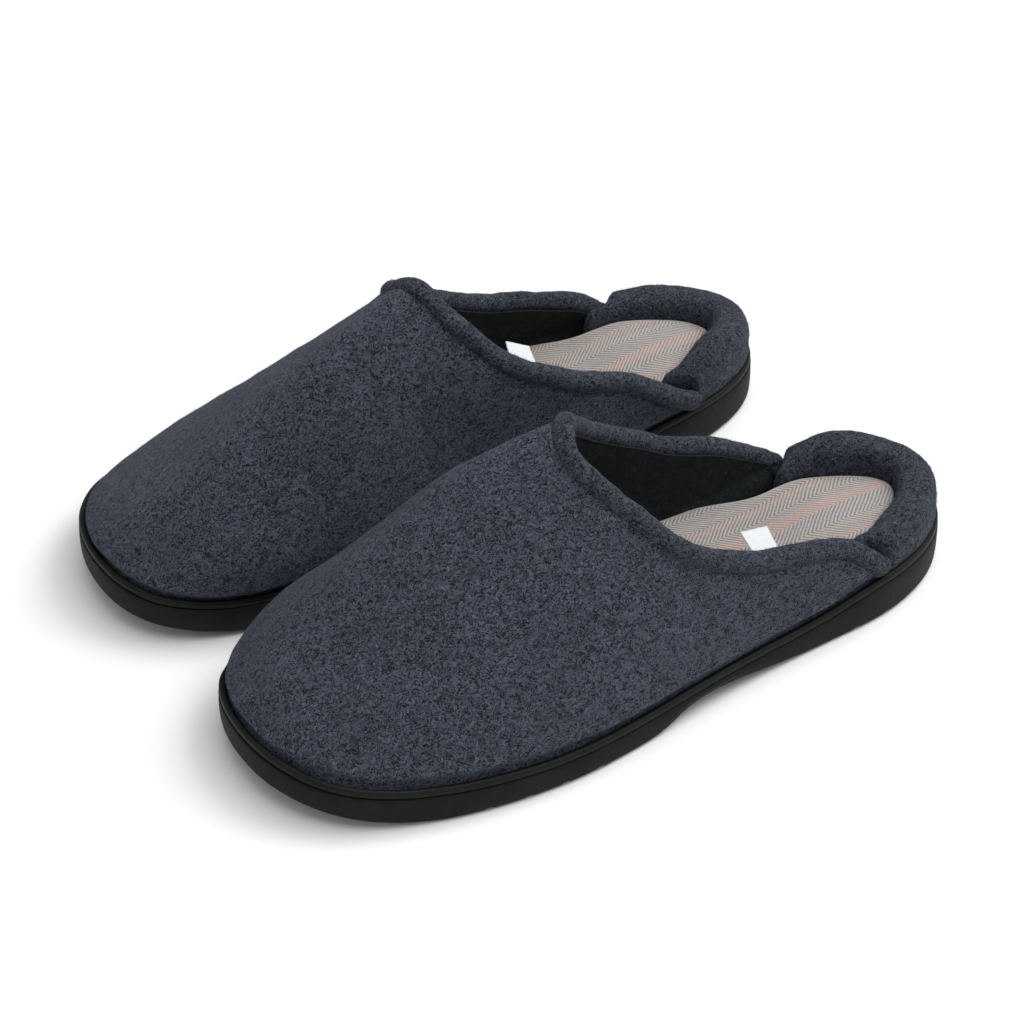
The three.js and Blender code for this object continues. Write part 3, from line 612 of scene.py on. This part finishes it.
def make_outsole(side):
    s = half_stations()
    lat = outline(s)[:, 1]
    extra = [np.interp(y, lat[::-1], s[::-1]) for a, b in ((58, 115), (227, 267)) for y in np.arange(a, b, 0.55)]
    s = np.unique(np.concatenate([s, extra]).round(6))

    def low(inset, dz):
        def f(q):
            p = flat(q, np.full(q.shape, inset))
            return np.column_stack([p, np.maximum(tread(p[:, 1]) + dz, tread(p[:, 1]) + tread_cut(p[:, 0], p[:, 1]))])
        return f

    def wall(inset, t):
        def f(q):
            p = flat(q, np.full(q.shape, inset))
            lo, hi = tread(p[:, 1]) + 2.9, groove(p[:, 1]) - 1.0
            return np.column_stack([p, lo + (hi - lo) * t])
        return f

    rims = [low(2.2, 0), low(1.25, 0.2), low(0.6, 0.75), low(0.2, 1.6), wall(0.0, 0.0), wall(-0.12, 0.3), wall(-0.12, 0.6), wall(0.0, 1.0),
            lambda q: ring3(q, 0.22, lambda y: groove(y) - 0.5), lambda q: ring3(q, 0.75, lambda y: groove(y) - 0.2),
            lambda q: ring3(q, 3.7, lambda y: groove(y) - 0.15), lambda q: ring3(q, 4.0, lambda y: np.minimum(cup(y), groove(y) - 1.4))]

    def bottom(C, R):
        C[..., 2] = tread(C[..., 1]) + tread_cut(C[..., 0], C[..., 1])
        return C

    def top(C, R):
        C[..., 2] = np.minimum(cup(C[..., 1]), groove(C[..., 1]) - 1.4)
        return C

    P, F = disc_solid(s, None, None, 14, top, bottom, rims)
    return P, turn_out(P, F)


def make_rand(side):
    s = np.arange(NS) / NS
    prof = [[0.95, 0.12], [0.5, 0.32], [0.3, 0.8], [0.24, 1.6], [0.3, 2.4], [0.52, 2.92], [0.95, 3.18], [1.5, 3.25], [2.1, 3.1], [2.6, 2.6], [2.9, 2.1], [2.9, 0.15]]
    z0 = groove(flat(s, np.zeros(NS))[:, 1])
    R = np.stack([np.column_stack([flat(s, np.full(NS, d)), z0 + h]) for d, h in prof], 1)
    P, F = tube(R, closed=True)
    return P, turn_out(P, F)


def collar_in(side):
    return 17.2 - 1.9 * smooth((side - 0.05) / 0.05)


def foot_inset(s):
    s = s % 1.0
    t = np.minimum(s, 1 - s)
    lat = (s < 0.5)
    side = np.where(lat, 9.5, 7.2) + 2.0 * smooth((t - 0.24) / 0.08) + 7.4 * smooth((t - 0.36) / 0.08)
    return side + (collar_in(t) + 0.3 - side) * (1 - smooth((t - 0.112) / 0.045))


foot_z = lambda y: last_z(y) + 6.4


def make_slab(inset, z0, z1, k=10):
    ins = inset if callable(inset) else (lambda q: np.full(q.shape, inset))

    def fill(zf):
        def f(C, R):
            C[..., 2] = zf(C[..., 1])
            return C
        return f

    P, F = disc_solid(half_stations(160), None, None, k, fill(z1), fill(z0), [lambda q: ring3(q, ins(q), z0), lambda q: ring3(q, ins(q), z1)])
    return P, turn_out(P, F)


def make_footbed_cover(side):
    top = lambda y: foot_z(y) + GAP + 1.3
    rims = [(0.9, -1.3), (0.25, -1.1), (0.0, -0.75), (0.05, -0.35), (0.35, -0.08), (0.9, 0.06), (1.7, 0.10), (2.8, 0.12), (4.5, 0.18)]
    rings = [lambda q, d=d, h=h: ring3(q, foot_inset(q) + d, lambda y: top(y) + h) for d, h in rims]
    s = half_stations(320)

    def up(C, R):
        k = C.shape[1]
        t = np.arange(1, k + 1) / (k + 1)
        e = 1 - np.abs(2 * t - 1)
        w = np.abs(R[1:len(s) - 1, 0] - R[:len(s) - 1:-1, 0])[:, None]
        d = e[None, :] * w / 2
        C[..., 2] = top(C[..., 1]) + 0.18 + 0.9 * smooth(d / 16)
        C[..., 2] += 0.22 * smooth(d / 8) * fbm(C * [1, 1, 0], 34, 5, 2)
        return C

    def low(C, R):
        C[..., 2] = foot_z(C[..., 1]) + GAP
        return C

    P, F = disc_solid(s, None, None, 26, up, low, rings)
    n = 2 * (len(s) - 1)
    e = np.zeros(len(P))
    for i, v in enumerate((1, 1, 1, 1, 1, 0.9, 0.35, 0.0, 0)):
        e[i * n:(i + 1) * n] = v
    return P, turn_out(P, F), e


def binding_line(n=1201):
    u = np.linspace(0, 1, n)
    return skin(u, np.ones(n), BIND_IN)


BLINE = binding_line()


def v_stop(u, depth, dist):
    """For each u, the height at which a layer at that depth comes within dist of the binding's centre line."""
    v = np.linspace(1, 0.05, 191)
    out = np.full(len(u), 0.05)
    done = np.zeros(len(u), bool)
    for a in v:
        p = skin(u, np.full(len(u), a), depth)
        d = np.sqrt(((p[:, None, :] - BLINE[None, ::4, :]) ** 2).sum(-1)).min(1)
        hit = (~done) & (d >= dist)
        out[hit] = a
        done |= hit
        if done.all():
            break
    k = np.hanning(9)
    k /= k.sum()
    return np.convolve(np.concatenate([out[4:0:-1], out, out[-2:-6:-1]]), k, "valid")


def layer(t0, t1, nu, nv, dist, u0=0.0, u1=1.0, share=1.0, lumps=None, v_power=1.0):
    u = np.linspace(u0, u1, nu + 1)
    ve = v_stop(u, t0 if not callable(t0) else 4.0, dist) * share
    j = (np.arange(nv + 1) / nv) ** v_power
    U = np.repeat(u[:, None], nv + 1, 1)
    V = ve[:, None] * j[None, :]
    T0 = t0(U, V) if callable(t0) else np.full(U.shape, float(t0))
    A, B = skin(U, V, T0), skin(U, V, np.full(U.shape, float(t1)))
    if lumps is not None:
        n = upper_normal(U, np.maximum(V, 0.04))
        d = lumps(A, U, V)[..., None]
        A, B = A + n * d, B + n * d
    P, F = shell(A, B)
    return P, turn_out(P, F), (U, V, A)


def make_binding(side):
    n = 420
    u = np.linspace(0, 1, n)
    c = skin(u, np.ones(n), BIND_IN)
    nn = upper_normal(u, np.ones(n))
    # the ends turn down to the rand
    extra = 16
    pts, nor = [], []
    for end in (0, -1):
        s = S_FIRST if end == 0 else S_LAST
        sign = 1 if end == 0 else -1
        foot = flat(np.array([s - sign * 0.004]), np.array([4.6]))[0]
        goal = np.array([foot[0], foot[1], groove(foot[1]) + RAND_H + 2.0])
        d0 = c[end] - c[1 if end == 0 else -2]
        d0 = d0 / np.linalg.norm(d0) * np.linalg.norm(goal - c[end])
        t = np.linspace(0, 1, extra + 1)[1:, None]
        h = (2 * t**3 - 3 * t**2 + 1) * c[end] + (t**3 - 2 * t**2 + t) * d0 + (-2 * t**3 + 3 * t**2) * goal + (t**3 - t**2) * np.array([0, 0, -np.linalg.norm(d0)])
        pts.append(h)
        nor.append(np.repeat(nn[end][None], extra, 0))
    C = np.concatenate([pts[0][::-1], c, pts[1]])
    N = np.concatenate([nor[0][::-1], nn, nor[1]])
    t = unit(np.gradient(C, axis=0))
    N = unit(N - t * (N * t).sum(-1, keepdims=True))
    B = np.cross(t, N)
    m = len(C)
    d = np.concatenate([[0], np.cumsum(np.linalg.norm(np.diff(C, axis=0), axis=1))])
    cap = np.sqrt(np.clip(1 - (1 - np.minimum(np.minimum(d, d[-1] - d) / 3.0, 1)) ** 2, 0, 1))
    r = np.maximum(cap, 0.03)
    k = 28
    a = np.arange(k) / k * 2 * np.pi
    ca, sa = np.cos(a)[None, :, None], np.sin(a)[None, :, None]
    base = C[:, None, :] + (N[:, None, :] * ca * 3.8 + B[:, None, :] * sa * 4.1) * r[:, None, None]
    out = N[:, None, :] * ca + B[:, None, :] * sa
    base = base + out * (0.22 * fbm(base, 17, 11 if side == "left" else 12, 2) + 0.10 * fbm(base, 5.5, 21, 2))[..., None] * r[:, None, None]
    P, F = tube(base)
    return P, turn_out(P, F), (base, out)


HALF_M, HALF_L = 0.104, 0.113


def make_collar(side, shrink=0.0):
    m = 220
    q = np.linspace(0, 1, m)
    s = -HALF_M + (HALF_M + HALF_L) * q
    sd = np.abs(s)
    n = out_normal(s)
    y = flat(s, np.full(m, 4.0))[:, 1]
    out = 1.35 + 8.6 * smooth((sd - 0.086) / 0.013)
    inn = collar_in(sd)
    tall = 16.5 + np.where(s < 0, 3.4, -0.5) * smooth(sd / 0.060) - np.where(s < 0, 9.0, 3.0) * smooth((sd - 0.060) / 0.046)
    z0 = groove(flat(s, np.zeros(m))[:, 1]) + RAND_H + 0.1
    cap = np.sqrt(np.clip(1 - (1 - np.minimum(np.minimum(q, 1 - q) / 0.028, 1)) ** 2, 0.02, 1))
    mid, hw, h = (out + inn) / 2, ((inn - out) / 2 - shrink) * cap, (tall - shrink) * cap
    k = 26
    a = np.linspace(0, np.pi, k)
    ex = 0.74
    cx = -np.sign(np.cos(a)) * np.abs(np.cos(a)) ** ex
    cz = np.abs(np.sin(a)) ** ex
    D = mid[:, None] + hw[:, None] * cx[None]
    Z = z0[:, None] + h[:, None] * (0.40 + 0.60 * cz[None])
    D = np.concatenate([(mid - hw * 0.97)[:, None], (mid - hw * 1.02)[:, None], D, (mid + hw * 1.02)[:, None], (mid + hw)[:, None]], 1)
    Z = np.concatenate([z0[:, None], z0[:, None] + h[:, None] * 0.18, Z, z0[:, None] + h[:, None] * 0.18, z0[:, None] - 1.2], 1)
    p = outline(s)
    R = np.stack([p[:, None, 0] - n[:, None, 0] * D, p[:, None, 1] - n[:, None, 1] * D, Z], -1)
    if shrink == 0:
        ctr = R.mean(1, keepdims=True)
        o = unit(R - ctr)
        R = R + o * (0.28 * fbm(R, 21, 31 if side == "left" else 32, 2) + 0.10 * fbm(R, 6, 41, 2))[..., None]
    P, F = tube(R)
    return P, turn_out(P, F), R


def label_frame(u, lift, drop):
    one = np.array([u])
    n = upper_normal(one, np.array([0.8]))[0]
    T = upper(one, np.array([1.0]))[0]
    v = 1.0
    while np.linalg.norm(upper(one, np.array([v]))[0] - T) < drop:
        v -= 0.01
    root = upper(one, np.array([v]))[0] - n * (inner4 + 0.7)
    e1 = unit(skin(one + 0.02, np.array([v]), inner4)[0] - skin(one - 0.02, np.array([v]), inner4)[0])
    w = -n.copy()
    w[2] = 0
    w = unit(w)
    w = unit(w - e1 * np.dot(w, e1))
    up = unit(np.cross(e1, w))
    up = up if up[2] > 0 else -up
    e2 = unit(w * math.cos(lift) + up * math.sin(lift))
    return root, e1, e2, unit(np.cross(e1, e2))


def make_label(side):
    root, e1, e2, e3 = label_frame(*LABELS[side])
    a, b = np.linspace(-6, 6, 25), np.linspace(0, 13, 27)
    A, Bb = np.meshgrid(a, b, indexing="ij")
    sag = 0.5 * np.sin(A / 6 * 1.4) * (Bb / 13) ** 2 - 0.9 * (Bb / 13) ** 2
    C = root + A[..., None] * e1 + Bb[..., None] * e2 + sag[..., None] * e3
    P, F = shell(C + 0.2 * e3, C - 0.2 * e3)
    return P, turn_out(P, F)


def make_fuzz(P, N, count, length, width, seed, lean=0.75):
    """Short loose fibres: thin three-sided blades standing on the felt."""
    rng = np.random.default_rng(seed)
    i = rng.integers(0, len(P), count)
    p, n = P[i] + rng.normal(0, 0.25, (count, 3)), N[i]
    r = unit(rng.normal(size=(count, 3)))
    r = unit(r - n * (r * n).sum(-1, keepdims=True))
    L = length * rng.uniform(0.45, 1.35, (count, 1))
    up = rng.uniform(0.25, 1.0, (count, 1))
    mid = p + L * (0.55 * r * lean + 0.35 * n * up)
    tip = p + L * (1.0 * r * lean + 0.75 * n * up + 0.25 * np.cross(n, r) * rng.normal(size=(count, 1)))
    w = np.cross(n, r) * width / 2
    p = p - n * 0.25
    V = np.stack([p - w, p + w, mid + w * 0.8, mid - w * 0.8, tip], 1).reshape(-1, 3)
    b = np.arange(count)[:, None] * 5
    F = (b + [0, 1, 2, 3]).tolist() + (b + [3, 2, 4]).tolist()
    return V, F


# ------------------------------------------------------------------ build
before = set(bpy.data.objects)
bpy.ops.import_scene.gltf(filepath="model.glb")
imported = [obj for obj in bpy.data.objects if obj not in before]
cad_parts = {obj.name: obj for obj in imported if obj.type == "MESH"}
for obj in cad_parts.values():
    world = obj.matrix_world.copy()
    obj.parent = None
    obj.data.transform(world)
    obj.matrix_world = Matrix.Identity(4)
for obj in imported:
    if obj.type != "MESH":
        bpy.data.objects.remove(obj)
size_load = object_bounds()

FELT = felt_material("felt", (0.0031, 0.0038, 0.0060), (0.0145, 0.0171, 0.0268), (0.106, 0.117, 0.156), 1.3, 0.10)
# the topline roll and heel collar are the same felt as the vamp; this darker copy is painted shade that damps the
# stronger top light these rolls catch
ROLL_FELT_PAINTED_SHADE = felt_material("felt_roll_painted_shade", (0.0027, 0.0033, 0.0048), (0.0122, 0.0144, 0.0208), (0.090, 0.100, 0.126), 1.0, 0.08)
RUBBER = rubber_material("sole_rubber", (0.0062, 0.0066, 0.0068), 0.62, 0.25)
RAND = rubber_material("rand_rubber", (0.0055, 0.0058, 0.0060), 0.52, 0.35)
LINING = lining_material("lining_cloth")
TWEED = tweed_material("herringbone")
FOAM = plain_material("foam", (0.55, 0.53, 0.48), 0.95, 1.5, 0.15, 0.8)
FILLER = plain_material("filler_foam", (0.05, 0.05, 0.055), 0.95, 1.5, 0.3, 0.8)
BOARD = plain_material("fibre_board", (0.26, 0.19, 0.11), 0.9, 0.7, 0.3, 0.3)
PUFF = plain_material("stiffened_cloth", (0.60, 0.56, 0.48), 0.9, 1.2, 0.15, 0.4)
SATIN = satin_material("satin")


def lumps(seed):
    def f(A, U, V):
        k = smooth(V / 0.10) * smooth((1 - V) / 0.04)
        return k * (0.42 * fbm(A, 58, seed, 2) + 0.16 * fbm(A, 15, seed + 1, 2))
    return f


for side in ("left", "right"):
    seed = 3 if side == "left" else 8
    P, F = make_outsole(side)
    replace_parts(mesh("sole", side, P, F, RUBBER), f"{side}_outsole")
    P, F = make_rand(side)
    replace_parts(mesh("rand_band", side, P, F, RAND), f"{side}_rand")
    P, F = make_slab(4.4, lambda y: np.minimum(cup(y), groove(y) - 1.4) + 0.2, lambda y: groove(y) - 0.3)
    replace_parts(mesh("filler", side, P, F, FILLER), f"{side}_midsole_foam")
    P, F = make_slab(6.0, lambda y: groove(y) + 0.2, lambda y: groove(y) + 1.3)
    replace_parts(mesh("board", side, P, F, BOARD), f"{side}_insole_board")
    P, F = make_slab(lambda q: foot_inset(q) + 0.6, lambda y: last_z(y) - 0.1, foot_z)
    o = mesh("footbed_pad", side, P, F, FOAM)
    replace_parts(o, f"{side}_footbed_foam")
    P, F, e = make_footbed_cover(side)
    o = mesh("footbed_tweed", side, P, F, TWEED, extra={"edge": e})
    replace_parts(o, f"{side}_footbed_cover")

    P, F, (U, V, A) = layer(0.0, FELT_T, 360, 108, BIND_R * 0.55, lumps=lumps(seed), v_power=0.9)
    vamp = mesh("vamp_felt", side, P, F, FELT)
    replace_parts(vamp, f"{side}_vamp_outer")
    skinP, skinN = A.reshape(-1, 3), upper_normal(U, np.maximum(V, 0.04)).reshape(-1, 3)
    P, F, _ = layer(inner1, inner1 + 0.8, 90, 20, BIND_R, 0.25, 0.75, share=0.5)
    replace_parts(mesh("toe_stiffener", side, P, F, PUFF), f"{side}_toe_puff")
    P, F, _ = layer(lambda u, v: inner1 + 1.15 * smooth((u - 0.21) / 0.03) * (1 - smooth((u - 0.76) / 0.03)) * (1 - smooth((v - 0.5) / 0.05)), inner2, 120, 40, BIND_R)
    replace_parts(mesh("vamp_padding", side, P, F, FOAM), f"{side}_vamp_foam")
    P, F, _ = layer(inner3, inner4, 240, 70, BIND_R * 0.7)
    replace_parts(mesh("lining_cloth", side, P, F, LINING), f"{side}_vamp_lining")

    P, F, (bp, bn) = make_binding(side)
    o = mesh("topline_roll", side, P, F, ROLL_FELT_PAINTED_SHADE)
    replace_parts(o, f"{side}_topline_binding")
    P, F, R = make_collar(side)
    o = mesh("heel_collar", side, P, F, ROLL_FELT_PAINTED_SHADE)
    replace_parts(o, f"{side}_collar_cover")
    P, F, _ = make_collar(side, 1.9)
    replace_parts(mesh("collar_core", side, P, F, FOAM), f"{side}_collar_foam")
    P, F = make_label(side)
    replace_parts(mesh("label_tab", side, P, F, SATIN, body=f"{side}_label_tab"), f"{side}_label")


    rp, rn = bp[8:-8].reshape(-1, 3), bn[8:-8].reshape(-1, 3)
    cp = R[4:-4, 2:-2]
    cn = unit(cp - R[4:-4].mean(1, keepdims=True))
    for nm, pts, nrm, cnt in (("vamp_nap", skinP, skinN, 30000), ("roll_nap", rp, rn, 9000), ("collar_nap", cp.reshape(-1, 3), cn.reshape(-1, 3), 7000)):
        P, F = make_fuzz(pts, nrm, cnt, 1.15, 0.075, seed * 10 + len(nm))
        mesh(nm, side, P, F, FELT, shade=False)

# ------------------------------------------------------------------ stage, camera, light


def floor_material():
    m = Mat("floor")
    m.set(Base_Color=(0.86, 0.86, 0.86), Roughness=0.85)
    m.bsdf.inputs["Specular IOR Level"].default_value = 0.0
    return m.m


me = bpy.data.meshes.new("floor")
me.from_pydata([(-6, -6, -0.0002), (6, -6, -0.0002), (6, 6, -0.0002), (-6, 6, -0.0002)], [], [(0, 1, 2, 3)])
me.materials.append(floor_material())
floor = bpy.data.objects.new("floor", me)
bpy.context.scene.collection.objects.link(floor)
floor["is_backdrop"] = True

AZ, EL, DIST = math.radians(60.29), math.radians(38.8), 1.12368
TARGET = Vector((-0.00241, -0.00179 + 0.00287, 0.020))
back = Vector((math.sin(AZ) * math.cos(EL), -math.cos(AZ) * math.cos(EL), math.sin(EL)))
cam = bpy.data.cameras.new("camera")
cam.lens = 2973.58 / 1024 * 36.0
cam.sensor_width = 36.0
cam.clip_start, cam.clip_end = 0.05, 50
camera = bpy.data.objects.new("camera", cam)
camera.location = TARGET + back * DIST
camera.rotation_mode = "QUATERNION"
camera.rotation_quaternion = (-back).to_track_quat("-Z", "Y")
bpy.context.scene.collection.objects.link(camera)
bpy.context.scene.camera = camera

world = bpy.data.worlds.new("studio")
world.use_nodes = True
world.node_tree.nodes["Background"].inputs[0].default_value = (1.0, 1.0, 1.0, 1)
world.node_tree.nodes["Background"].inputs[1].default_value = 0.51
bpy.context.scene.world = world


def area(name, loc, target, size, power, color=(1, 1, 1)):
    L = bpy.data.lights.new(name, "AREA")
    L.shape, L.size, L.size_y = "RECTANGLE", size[0], size[1]
    L.energy, L.color = power, color
    o = bpy.data.objects.new(name, L)
    o.location = loc
    o.rotation_mode = "QUATERNION"
    o.rotation_quaternion = (Vector(target) - Vector(loc)).to_track_quat("-Z", "Y")
    bpy.context.scene.collection.objects.link(o)


area("key", (0.2, 1.3, 1.6), (0, 0, 0), (1.2, 1.2), 21, (1.0, 0.99, 0.98))
area("top", (0.3, 0.4, 1.9), (0, 0, 0), (2.2, 2.2), 27.5, (0.98, 0.99, 1.0))
area("fill", (1.6, -0.6, 0.9), (0, 0, 0.03), (1.2, 1.0), 1.0, (0.98, 0.99, 1.0))

vs = bpy.context.scene.view_settings
vs.view_transform = "Standard"
vs.look = "None"
vs.exposure = 0.0

size_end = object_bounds()


def plain(v):
    return [plain(q) for q in v] if hasattr(v, "__len__") else float(v)


plain(size_load)
plain(size_end)
